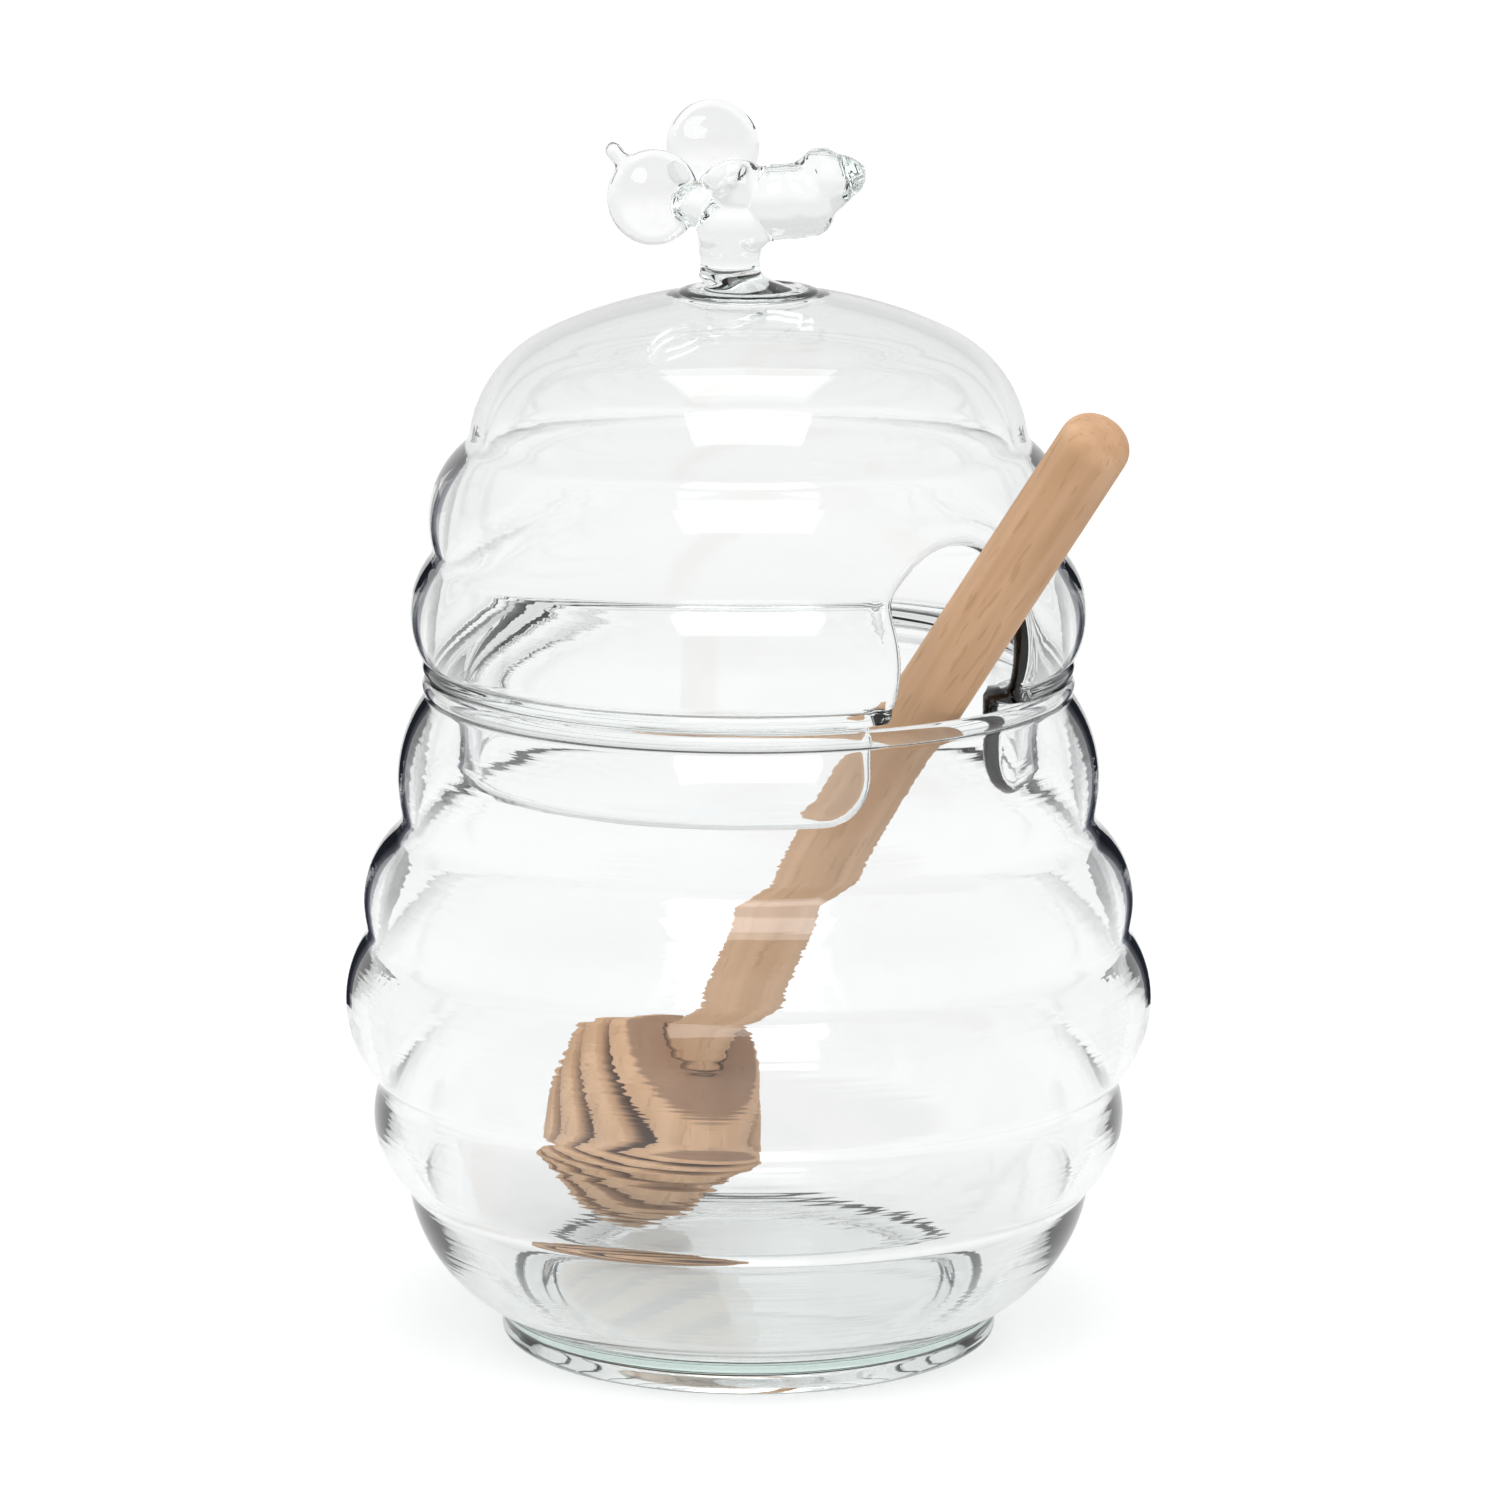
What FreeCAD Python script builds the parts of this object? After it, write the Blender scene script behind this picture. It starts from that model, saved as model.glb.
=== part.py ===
"""A beehive honey jar: a ribbed glass jar, its ribbed glass lid with a bee on top, and a wooden dipper.

Millimetres. The origin is the centre of the jar's foot on the surface it stands on, +Z is up, and the
front faces -Y. The lid's slot opens to the front right, and the dipper leans through it.
Each outline is drawn in the plane of radius and height, as pairs (radius, height), and turned about Z.
"""
import FreeCAD, Part
import math
import os

# ---------------------------------------------------------------- jar
JAR_WALL = 2.0
# Where one rib of the jar's outside meets the next, from the neck down to the foot.
JAR_CREASES = [(41.9, 88.7), (45.7, 69.9), (50.5, 55.4), (49.0, 35.7), (45.7, 21.4), (30.4, 3.6)]
JAR_BULGES = [2.5, 2.7, 4.0, 2.6, 3.6]  # how far each rib swells past the line between its creases
JAR_HOLLOWS = [3.6, 3.6, 3.0, 2.4]  # radius of the soft hollow that joins two ribs
LIP_RADIUS = 42.0
LIP_TOP = 90.2
LIP_TUBE = 1.3  # half the thickness of the rounded lip
LIP_STEP = 0.2  # the lip stands this far in from the inside of the neck
FLOOR = 6.0  # height of the inside floor
FLOOR_RISE = 0.6  # how far the floor's middle is pushed up
FLOOR_ROUND = 5.0  # radius between the inside floor and the wall
FOOT_RADIUS = 33.2
FOOT_HEIGHT = 6.0
FOOT_ROUND = 1.6
FOOT_LAND = (28.6, 31.6)  # inner and outer radius of the ring that touches the table
RECESS_DEPTH = 1.8

# ---------------------------------------------------------------- lid
LID_WALL = 2.0
LID_TOP = 141.5
SHOULDER = (19.9, 120.0)  # centre of the dome's round shoulder
SHOULDER_RADIUS = 17.0
LID_CREASES = [(36.7, 121.3), (41.5, 106.4), (43.4, 92.9)]
LID_BULGES = [2.7, 2.25]
LID_HOLLOWS = [3.0, 2.6]
INNER_SHARE = 0.86  # a rib is that much as deep on the inside of the glass as on the outside
SEAT = 90.3  # underside of the shelf that rests on the jar's lip
SHELF_TUBE = 1.1  # half the thickness of the shelf's rounded edge
SHELF_RADIUS = 42.15
SHELF_STEP = 0.3  # from the top of the shelf's edge up to the foot of the lowest rib
COVE = 1.5  # radius of the inside hollows from the collar to the shelf and on into the dome
COLLAR_RADIUS = 38.9  # outside of the collar that hangs into the jar
COLLAR_WALL = 2.1
COLLAR_DROP = 13.6

# The slot goes through collar, shelf and dome.
LEAN_TURN = 39.4  # degrees from the front towards the right, for the slot and the dipper
SLOT_WIDTH = 20.0
SLOT_TOP = 112.6
SLOT_CORNER = 6.0  # radius of the collar's corners beside the slot

# ---------------------------------------------------------------- bee and stem on the lid
STEM_WAIST = 3.9
STEM_FLARE = 4.8
STEM_TOP = 148.5
BOSS_RADIUS = 8.6  # the drop of glass that the stem leaves on the inside of the dome
BOSS_DROP = 2.4
STEM_ROOT = 1.0  # how deep the stem starts in the dome's glass
WAIST_RISE = 1.0  # the waist sits this much above half way up the stem
STEM_SPREAD = 0.4  # the stem's top is this much wider than its waist
STEM_SHIFT = 2.4  # how far to the left of the lid's middle the stem stands
# Lumps of glass that make the bee's body: centre, radius, half length and axis.
LUMPS = [
    ((-1.6, 0.0, 154.2), 4.2, 5.0, (1, 0, 0.05)),
    ((-1.9, 0.0, 149.8), 4.8, 3.4, (0, 0, 1)),
    ((-6.5, -1.5, 152.5), 3.0, 3.4, (1, 0.2, 0)),
]
ABDOMEN = [  # centre and radius of each of its rings
    ((3.5, 0.0, 152.6), 5.0),
    ((6.5, 0.0, 152.9), 5.2),
    ((9.5, 0.0, 155.2), 4.5),
    ((12.2, 0.0, 156.2), 3.0),
]
WING_RADIUS = 6.4
WING_HALF_THICK = 1.7
FRONT_WING = ((-12.4, -4.2, 153.9), (0.35, -0.93, 0.1))  # centre, and the way its flat side faces
BACK_WING = ((-4.7, 4.0, 159.5), (0.3, -0.9, 0.2))
WING_TIP = (-17.6, -5.4, 160.2)  # the bead where the rod was pulled off the front wing
WING_BEAD = 1.15  # radius of that bead, and of the thread of glass down to the wing
BEAD_REACH = 0.45  # the thread ends this share of the way from the bead to the wing's centre

# ---------------------------------------------------------------- dipper
HANDLE_LENGTH = 126.6  # from the head to the round tip
HANDLE_RADII = (4.5, 4.75, 4.6)  # at the head, half way and at the tip
TIP_ROUND = 3.2
HEAD_LENGTH = 28.8
HEAD_RADIUS = 14.1
HEAD_EGG = 19.2  # half length of the egg shape that the discs' rims follow
DISCS = 6
GROOVE_SHARE = 0.4  # of the pitch from one disc to the next
GROOVE_DEPTH = 3.9
RIM_BULGE = 0.45
FACE_RISE = 0.8  # how far the head's top face rises towards the handle
SOCKET_GAP = 0.3  # width of the fine joint line round the handle's foot
SOCKET_DEPTH = 0.8
DIPPER_TILT = 40.3  # degrees from upright
REST_GAP = 0.1  # left where the dipper touches the lip
HEAD_LIFT = 0.1  # the head rests this much above the middle of the inside floor


def point(pair):
    """A pair of radius and height as a point in the XZ plane."""
    return FreeCAD.Vector(pair[0], 0, pair[1])


def towards(centre, radius, target):
    """The point of a circle that lies towards a target."""
    across, up = target[0] - centre[0], target[1] - centre[1]
    share = radius / math.hypot(across, up)
    return (centre[0] + across * share, centre[1] + up * share)


def at_height(centre, radius, height):
    """The outermost point of a circle at a height."""
    return (centre[0] + math.sqrt(radius ** 2 - (height - centre[1]) ** 2), height)


def line(start, end):
    return Part.LineSegment(point(start), point(end)).toShape()


def path(*points):
    """Straight edges through the points."""
    return [line(a, b) for a, b in zip(points, points[1:])]


def arc(start, end, centre, radius):
    """The shorter arc of a circle between two of its points."""
    middle = towards(centre, radius, ((start[0] + end[0]) / 2, (start[1] + end[1]) / 2))
    return Part.Arc(point(start), point(middle), point(end)).toShape()


def quarter(start, end, corner):
    """A quarter circle that rounds off a square corner."""
    radius = abs(start[0] - end[0])
    centre = (start[0] + end[0] - corner[0], start[1] + end[1] - corner[1])
    return arc(start, end, centre, radius)


def bulged(start, end, bulge):
    """An arc that swells by bulge past the straight line, to the side of larger radius."""
    across, up = end[0] - start[0], end[1] - start[1]
    length = math.hypot(across, up)
    side = math.copysign(bulge / length, up)
    middle = ((start[0] + end[0]) / 2 + up * side, (start[1] + end[1]) / 2 - across * side)
    return Part.Arc(point(start), point(middle), point(end)).toShape()


def turned(edges):
    """A solid turned about Z from a closed outline."""
    face = Part.Face(Part.Wire(edges))
    return face.revolve(FreeCAD.Vector(0, 0, 0), FreeCAD.Vector(0, 0, 1), 360)


def rib_circle(upper, lower, bulge):
    """Centre and radius of the rib that swells by bulge between two creases."""
    across, down = lower[0] - upper[0], upper[1] - lower[1]
    chord = math.hypot(across, down)
    radius = (chord ** 2 / 4 + bulge ** 2) / (2 * bulge)
    back = (radius - bulge) / chord
    middle = ((upper[0] + lower[0]) / 2, (upper[1] + lower[1]) / 2)
    return (middle[0] - down * back, middle[1] - across * back), radius


def rib_circles(creases, bulges):
    return [rib_circle(a, b, bulge) for a, b, bulge in zip(creases, creases[1:], bulges)]


def hollow_centre(first, second, hollow):
    """Centre of the hollow, of a given radius, that touches two rib circles from outside."""
    (one, radius_one), (two, radius_two) = first, second
    across, up = two[0] - one[0], two[1] - one[1]
    gap = math.hypot(across, up)
    reach = radius_one + hollow
    along = (gap ** 2 + reach ** 2 - (radius_two + hollow) ** 2) / (2 * gap)
    aside = math.sqrt(reach ** 2 - along ** 2)
    return max((one[0] + (across * along - up * s) / gap, one[1] + (up * along + across * s) / gap)
               for s in (aside, -aside))


def ribbed(start, circles, hollows, end):
    """Edges of a ribbed wall from start to end: arcs of the circles, joined by soft hollows."""
    edges = []
    here = start
    for first, second, hollow in zip(circles, circles[1:], hollows):
        centre = hollow_centre(first, second, hollow)
        leave, meet = towards(*first, centre), towards(*second, centre)
        edges += [arc(here, leave, *first), arc(leave, meet, centre, hollow)]
        here = meet
    return edges + [arc(here, end, *circles[-1])]


def inset(creases, wall):
    """The creases moved into the glass by the wall, square to the ribs beside them."""
    moved = []
    for i, (radius, height) in enumerate(creases):
        above, below = creases[max(i - 1, 0)], creases[min(i + 1, len(creases) - 1)]
        across, down = below[0] - above[0], above[1] - below[1]
        share = wall / math.hypot(across, down)
        moved.append((radius - down * share, height - across * share))
    return moved


def one_solid(shape):
    """The single solid of a fused or cut shape."""
    solids = shape.Solids
    assert len(solids) == 1 and solids[0].isValid(), "%d solids" % len(solids)
    return solids[0]


# ---------------------------------------------------------------- the jar
def foot():
    """The low ring that the jar stands on, with a recess under it and a rounded outer edge."""
    inner, outer = FOOT_LAND
    edge = (outer + FOOT_ROUND, FOOT_ROUND)
    return turned(
        path((0, RECESS_DEPTH), (inner - RECESS_DEPTH, RECESS_DEPTH), (inner, 0), (outer, 0))
        + [quarter((outer, 0), edge, (edge[0], 0))]
        + path(edge, (FOOT_RADIUS, FOOT_HEIGHT), (0, FOOT_HEIGHT), (0, RECESS_DEPTH)))


def jar():
    """Body, foot and rounded lip as one blown piece, open at the top."""
    circles = rib_circles(JAR_CREASES, JAR_BULGES)
    top, bottom = JAR_CREASES[0], JAR_CREASES[-1]
    body = turned(ribbed(top, circles, JAR_HOLLOWS, bottom)
                  + path(bottom, (0, bottom[1]), (0, top[1]), top))

    inner = [(LIP_RADIUS - LIP_TUBE + LIP_STEP, top[1])] + inset(JAR_CREASES, JAR_WALL)[1:]
    circles = rib_circles(inner, [bulge * INNER_SHARE for bulge in JAR_BULGES])
    centre, radius = circles[-1]
    corner = at_height(centre, radius - FLOOR_ROUND, FLOOR + FLOOR_ROUND)
    meet = towards(centre, radius, corner)
    edge, crest = (corner[0], FLOOR), (0, FLOOR + FLOOR_RISE)
    dome = (edge[0] ** 2 + FLOOR_RISE ** 2) / (2 * FLOOR_RISE)
    top = inner[0]
    hollow = turned(ribbed(top, circles, [hollow + JAR_WALL for hollow in JAR_HOLLOWS], meet)
                    + [arc(meet, edge, corner, FLOOR_ROUND), arc(edge, crest, (0, crest[1] - dome), dome)]
                    + path(crest, (0, LIP_TOP), (top[0], LIP_TOP), top))
    lip = Part.makeTorus(LIP_RADIUS, LIP_TUBE, FreeCAD.Vector(0, 0, LIP_TOP - LIP_TUBE))
    return one_solid(body.fuse(foot()).cut(hollow).fuse(lip))


# ---------------------------------------------------------------- the lid
def crown(depth):
    """The circles of the lid's flat crown and of its shoulder, at a depth inside the glass."""
    rise = LID_TOP - SHOULDER[1]
    large = (SHOULDER[0] ** 2 + rise ** 2 - SHOULDER_RADIUS ** 2) / (2 * (rise - SHOULDER_RADIUS))
    return ((0, LID_TOP - large), large - depth), (SHOULDER, SHOULDER_RADIUS - depth)


def dome_circles(depth, share):
    """The circles of the dome's shoulder and ribs, at a depth inside the glass."""
    creases = inset(LID_CREASES, depth)
    return [crown(depth)[1]] + rib_circles(creases, [bulge * share for bulge in LID_BULGES])


def dome_edges(depth, circles, end):
    """Edges of one side of the dome's wall, from the top on the axis down to end."""
    top = crown(depth)[0]
    hollows = [hollow + depth for hollow in LID_HOLLOWS]
    join = towards(*top, (SHOULDER[0], SHOULDER[1]))
    return [arc((0, LID_TOP - depth), join, *top)] + ribbed(join, circles, hollows, end)


def bell():
    """Dome, shelf and collar, all round."""
    outside, inside = dome_circles(0, 1), dome_circles(LID_WALL, INNER_SHARE)
    shelf_top = SEAT + 2 * SHELF_TUBE
    low = at_height(*outside[-1], shelf_top + SHELF_STEP)
    tube = (SHELF_RADIUS, SEAT + SHELF_TUBE)
    notch = towards(tube, SHELF_TUBE, (tube[0] + 1, tube[1] + math.sqrt(3)))
    bottom = SEAT - COLLAR_DROP
    half = COLLAR_WALL / 2
    bore = COLLAR_RADIUS - COLLAR_WALL
    centre, radius = inside[-1]
    cove = at_height(centre, radius - COVE, shelf_top + COVE)
    meet = towards(centre, radius, cove)
    return turned(
        dome_edges(0, outside, low) + [line(low, notch)]
        + [arc(notch, (tube[0] + SHELF_TUBE, tube[1]), tube, SHELF_TUBE),
           quarter((tube[0] + SHELF_TUBE, tube[1]), (tube[0], SEAT), (tube[0] + SHELF_TUBE, SEAT))]
        + path((tube[0], SEAT), (COLLAR_RADIUS, SEAT), (COLLAR_RADIUS, bottom + half))
        + [quarter((COLLAR_RADIUS, bottom + half), (COLLAR_RADIUS - half, bottom), (COLLAR_RADIUS, bottom)),
           quarter((COLLAR_RADIUS - half, bottom), (bore, bottom + half), (bore, bottom)),
           line((bore, bottom + half), (bore, shelf_top - COVE)),
           quarter((bore, shelf_top - COVE), (bore + COVE, shelf_top), (bore, shelf_top)),
           line((bore + COVE, shelf_top), (cove[0], shelf_top)),
           arc((cove[0], shelf_top), meet, cove, COVE)]
        + dome_edges(LID_WALL, inside, meet)[::-1]
        + [line((0, LID_TOP - LID_WALL), (0, LID_TOP))])


def slot():
    """The slot's space: an arch on straight sides, whose foot flares to round the collar's corners."""
    half = SLOT_WIDTH / 2
    foot_height = SEAT - COLLAR_DROP
    knee = foot_height + SLOT_CORNER
    flare = half + SLOT_CORNER
    spring = SLOT_TOP - half
    low = foot_height - SLOT_CORNER
    edges = path((-half, knee), (-half, spring))
    edges += [quarter((-half, spring), (0, SLOT_TOP), (-half, SLOT_TOP)),
              quarter((0, SLOT_TOP), (half, spring), (half, SLOT_TOP))]
    edges += path((half, spring), (half, knee))
    edges += [quarter((half, knee), (flare, foot_height), (half, foot_height))]
    edges += path((flare, foot_height), (flare, low), (-flare, low), (-flare, foot_height))
    edges += [quarter((-flare, foot_height), (-half, knee), (-half, foot_height))]
    block = Part.Face(Part.Wire(edges)).extrude(FreeCAD.Vector(0, -2 * SHELF_RADIUS, 0))
    block.rotate(FreeCAD.Vector(0, 0, 0), FreeCAD.Vector(0, 0, 1), LEAN_TURN)
    return block


def egg(centre, radius, half_length, axis=(0, 0, 1)):
    """A rounded lump of glass: half_length along its axis and radius across it."""
    stretch = FreeCAD.Matrix()
    stretch.scale(radius, radius, half_length)
    lump = Part.makeSphere(1).transformGeometry(stretch)
    turn = FreeCAD.Rotation(FreeCAD.Vector(0, 0, 1), FreeCAD.Vector(*axis))
    lump.Placement = FreeCAD.Placement(FreeCAD.Vector(*centre), turn)
    return lump


def stem():
    """The waisted stem, and the drop of glass that it leaves under the dome."""
    bottom = LID_TOP - STEM_ROOT
    waist = (STEM_WAIST, (bottom + STEM_TOP) / 2 + WAIST_RISE)
    low, high = (STEM_FLARE, bottom), (STEM_WAIST + STEM_SPREAD, STEM_TOP)
    side = Part.Arc(point(low), point(waist), point(high)).toShape()
    post = turned([side] + path(high, (0, high[1]), (0, low[1]), low))
    post.translate(FreeCAD.Vector(-STEM_SHIFT, 0, 0))
    boss = egg((0, 0, LID_TOP - LID_WALL), BOSS_RADIUS, BOSS_DROP)
    middle = FreeCAD.Vector(0, 0, LID_TOP - LID_WALL / 2)
    above = Part.makeCylinder(2 * BOSS_RADIUS, 2 * BOSS_DROP, middle)
    return post.fuse(boss.cut(above))


def paddle(centre, radius, half_thick, axis):
    """A flat round wing with a fully rounded rim."""
    flat = radius - half_thick
    wing = turned(
        path((0, -half_thick), (flat, -half_thick))
        + [Part.Arc(point((flat, -half_thick)), point((radius, 0)), point((flat, half_thick))).toShape()]
        + path((flat, half_thick), (0, half_thick), (0, -half_thick)))
    turn = FreeCAD.Rotation(FreeCAD.Vector(0, 0, 1), FreeCAD.Vector(*axis))
    wing.Placement = FreeCAD.Placement(FreeCAD.Vector(*centre), turn)
    return wing


def between(start, end, count):
    """Evenly spaced points from start to end."""
    return [[a + (b - a) * i / (count - 1) for a, b in zip(start, end)] for i in range(count)]


def bee():
    """A little lampworked bee: body, abdomen, two round wings and a pulled tip."""
    lumps = [egg(*lump) for lump in LUMPS]
    lumps += [Part.makeSphere(radius, FreeCAD.Vector(*centre)) for centre, radius in ABDOMEN]
    lumps += [paddle(centre, WING_RADIUS, WING_HALF_THICK, axis) for centre, axis in (FRONT_WING, BACK_WING)]
    wing_rim = [tip + (middle - tip) * BEAD_REACH for tip, middle in zip(WING_TIP, FRONT_WING[0])]
    for centre in between(WING_TIP, wing_rim, 4):
        lumps.append(Part.makeSphere(WING_BEAD, FreeCAD.Vector(*centre)))
    return lumps[0].fuse(lumps[1:])


def lid():
    return one_solid(bell().cut(slot()).fuse(stem()).fuse(bee()))


# ---------------------------------------------------------------- the dipper
def disc_spans():
    """Lower and upper height of each disc of the dipper's head, from its end up."""
    pitch = HEAD_LENGTH / (DISCS - GROOVE_SHARE)
    return [(i * pitch, i * pitch + pitch * (1 - GROOVE_SHARE)) for i in range(DISCS)]


def rim(height):
    """Radius of the egg shape that the discs' rims follow."""
    return HEAD_RADIUS * math.sqrt(1 - ((height - HEAD_LENGTH / 2) / HEAD_EGG) ** 2)


def dipper_upright():
    """The dipper turned about Z, with the end of its head at the origin."""
    spans = disc_spans()
    edges = []
    here = (0, 0)
    for (low, high), (following, _) in zip(spans, spans[1:]):
        corner, upper = (rim(low), low), (rim(high), high)
        floor = min(rim(high), rim(following)) - GROOVE_DEPTH
        edges += path(here, corner) + [bulged(corner, upper, RIM_BULGE)]
        edges += path(upper, (floor, high), (floor, following))
        here = (floor, following)
    low, high = spans[-1]
    corner, upper = (rim(low), low), (rim(high), high)
    edges += path(here, corner) + [bulged(corner, upper, RIM_BULGE)]

    foot_radius, middle_radius, tip_radius = HANDLE_RADII
    face = HEAD_LENGTH + FACE_RISE
    socket = foot_radius + SOCKET_GAP
    tip = HEAD_LENGTH + HANDLE_LENGTH
    shoulder = tip - TIP_ROUND
    flat = tip_radius - TIP_ROUND
    edges += path(upper, (socket, face), (socket, face - SOCKET_DEPTH), (foot_radius, face - SOCKET_DEPTH),
                  (middle_radius, (face + shoulder) / 2), (tip_radius, shoulder))
    edges += [quarter((tip_radius, shoulder), (flat, tip), (tip_radius, tip))]
    edges += path((flat, tip), (0, tip), (0, 0))
    return turned(edges)


def dipper():
    """The dipper leaning in the jar: its head rests on the floor and its handle on the lip."""
    tilt = math.radians(DIPPER_TILT)
    lowest = min(low * math.cos(tilt) - rim(low) * math.sin(tilt) for low, _ in disc_spans())
    lift = FLOOR + FLOOR_RISE + HEAD_LIFT - lowest
    lip_height = LIP_TOP - LIP_TUBE
    reach = LIP_RADIUS - (LIP_TUBE + HANDLE_RADII[1] + REST_GAP) / math.cos(tilt)
    shift = reach - (lip_height - lift) * math.tan(tilt)
    stick = dipper_upright()
    origin = FreeCAD.Vector(0, 0, 0)
    stick.rotate(origin, FreeCAD.Vector(1, 0, 0), DIPPER_TILT)
    stick.translate(FreeCAD.Vector(0, -shift, lift))
    stick.rotate(origin, FreeCAD.Vector(0, 0, 1), LEAN_TURN)
    return one_solid(stick)


if __name__ == "__main__":
    os.makedirs("parts", exist_ok=True)
    for name, make in (("jar", jar), ("lid", lid), ("dipper", dipper)):
        shape = make()
        shape.exportStep("parts/%s.step" % name)
        print(name, "volume %.1f cm3" % (shape.Volume / 1000), shape.BoundBox)
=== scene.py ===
# %% [markdown]
# # A beehive honey jar
#
# The object is an empty honey jar. Its body and its lid are clear blown glass with round ribs, like an
# old straw beehive. The lid has an arched slot and a little glass bee on a stem. A turned beech dipper
# leans through the slot.
#
# The plain solids of the same three pieces are already packed as a frame. They say where everything is
# and how large. This lesson loads them, and then makes a finer piece to stand in for each one.

# %% Load the frame
import math

import bmesh
import bpy
import numpy as np
from mathutils import Matrix, Vector, geometry


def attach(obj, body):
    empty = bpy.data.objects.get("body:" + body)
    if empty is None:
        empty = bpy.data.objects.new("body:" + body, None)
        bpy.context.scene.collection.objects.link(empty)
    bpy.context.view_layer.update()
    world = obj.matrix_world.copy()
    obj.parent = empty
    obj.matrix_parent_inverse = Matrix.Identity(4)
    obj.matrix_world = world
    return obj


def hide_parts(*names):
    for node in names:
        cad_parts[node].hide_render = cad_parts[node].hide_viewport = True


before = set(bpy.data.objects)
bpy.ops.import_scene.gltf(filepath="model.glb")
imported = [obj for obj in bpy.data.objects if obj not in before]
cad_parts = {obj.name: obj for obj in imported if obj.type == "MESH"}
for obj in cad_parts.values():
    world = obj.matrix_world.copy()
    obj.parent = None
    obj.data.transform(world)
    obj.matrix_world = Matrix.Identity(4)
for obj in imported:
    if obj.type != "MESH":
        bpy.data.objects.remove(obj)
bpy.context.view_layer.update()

MM = 0.001  # the sizes below are in millimetres, and meshes are made in metres
print("frame nodes:", sorted(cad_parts))

# %% [markdown]
# ## The outline of ribbed glass
#
# Blown glass like this takes its shape from a mould, and every level of it is a circle. So one outline,
# drawn as radius and height, says it all. The outline could be drawn by hand as a curve. Here it follows
# a rule instead: two neighbouring ribs meet at a crease, each rib swells past the straight line between
# its two creases by a bulge, and a small hollow takes the sharpness off the crease.

# %% Circles, hollows and arcs
ARC_POINTS = 24


def towards(centre, radius, target):
    """The point of a circle that lies towards a target."""
    across, up = target[0] - centre[0], target[1] - centre[1]
    share = radius / math.hypot(across, up)
    return (centre[0] + across * share, centre[1] + up * share)


def at_height(centre, radius, height):
    """The outermost point of a circle at a height."""
    return (centre[0] + math.sqrt(radius ** 2 - (height - centre[1]) ** 2), height)


def sweep(centre, radius, start, end):
    """Points of an arc from one angle to another, in radians."""
    angles = np.linspace(start, end, ARC_POINTS)
    return np.column_stack([centre[0] + radius * np.cos(angles), centre[1] + radius * np.sin(angles)])


def arc(start, end, centre):
    """Points of the shorter arc from start to end about a centre."""
    first = math.atan2(start[1] - centre[1], start[0] - centre[0])
    turn = math.atan2(end[1] - centre[1], end[0] - centre[0]) - first
    turn = (turn + math.pi) % (2 * math.pi) - math.pi
    return sweep(centre, math.dist(start, centre), first, first + turn)


def rib_circle(upper, lower, bulge):
    """Centre and radius of the rib that swells by bulge between two creases."""
    across, down = lower[0] - upper[0], upper[1] - lower[1]
    chord = math.hypot(across, down)
    radius = (chord ** 2 / 4 + bulge ** 2) / (2 * bulge)
    back = (radius - bulge) / chord
    middle = ((upper[0] + lower[0]) / 2, (upper[1] + lower[1]) / 2)
    return (middle[0] - down * back, middle[1] - across * back), radius


def rib_circles(creases, bulges):
    return [rib_circle(a, b, bulge) for a, b, bulge in zip(creases, creases[1:], bulges)]


def hollow_centre(first, second, hollow):
    """Centre of the hollow, of a given radius, that touches two rib circles from outside."""
    (one, radius_one), (two, radius_two) = first, second
    across, up = two[0] - one[0], two[1] - one[1]
    gap = math.hypot(across, up)
    reach = radius_one + hollow
    along = (gap ** 2 + reach ** 2 - (radius_two + hollow) ** 2) / (2 * gap)
    aside = math.sqrt(reach ** 2 - along ** 2)
    return max((one[0] + (across * along - up * s) / gap, one[1] + (up * along + across * s) / gap)
               for s in (aside, -aside))


def ribbed(start, circles, hollows, end):
    """Points of a ribbed wall from start to end."""
    runs, here = [], start
    for first, second, hollow in zip(circles, circles[1:], hollows):
        centre = hollow_centre(first, second, hollow)
        leave, meet = towards(*first, centre), towards(*second, centre)
        runs += [arc(here, leave, first[0]), arc(leave, meet, centre)]
        here = meet
    return np.vstack(runs + [arc(here, end, circles[-1][0])])


def inset(creases, wall):
    """The creases moved into the glass by the wall, square to the ribs beside them."""
    moved = []
    for i, (radius, height) in enumerate(creases):
        above, below = creases[max(i - 1, 0)], creases[min(i + 1, len(creases) - 1)]
        across, down = below[0] - above[0], above[1] - below[1]
        share = wall / math.hypot(across, down)
        moved.append((radius - down * share, height - across * share))
    return moved


# %% [markdown]
# Molten glass has no sharp corner anywhere. An outline is softened by sliding a bell-shaped average
# along it, which rounds each corner and leaves the long curves alone. Afterwards it gets its final
# points: close together where it turns, and further apart where it runs straight.

# %% Soften an outline and choose its points
FINE = 0.1  # spacing of the points while an outline is softened


def lengths(outline):
    """Distance along the outline of each of its points."""
    return np.concatenate([[0], np.cumsum(np.hypot(*np.diff(outline, axis=0).T))])


def at_lengths(outline, where):
    """Points of the outline at distances along it."""
    along = lengths(outline)
    return np.column_stack([np.interp(where, along, outline[:, k]) for k in (0, 1)])


def soften(outline, reach):
    """Round the corners of an outline over about the reach, and keep its two ends."""
    total = lengths(outline)[-1]
    even = at_lengths(outline, np.linspace(0, total, int(total / FINE) + 1))
    span = int(4 * reach / FINE)
    before = 2 * even[0] - even[span:0:-1]
    after = 2 * even[-1] - even[-2:-span - 2:-1]
    bell = np.exp(-0.5 * (np.arange(-span, span + 1) * FINE / reach) ** 2)
    bell /= bell.sum()
    full = np.vstack([before, even, after])
    return np.column_stack([np.convolve(full[:, k], bell, "valid") for k in (0, 1)])


def turning(outline):
    """How much the outline turns at each step from one point to the next, in degrees."""
    steps = np.diff(outline, axis=0)
    heading = np.unwrap(np.arctan2(steps[:, 1], steps[:, 0]))
    return np.degrees(np.abs(np.gradient(heading)))


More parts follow.
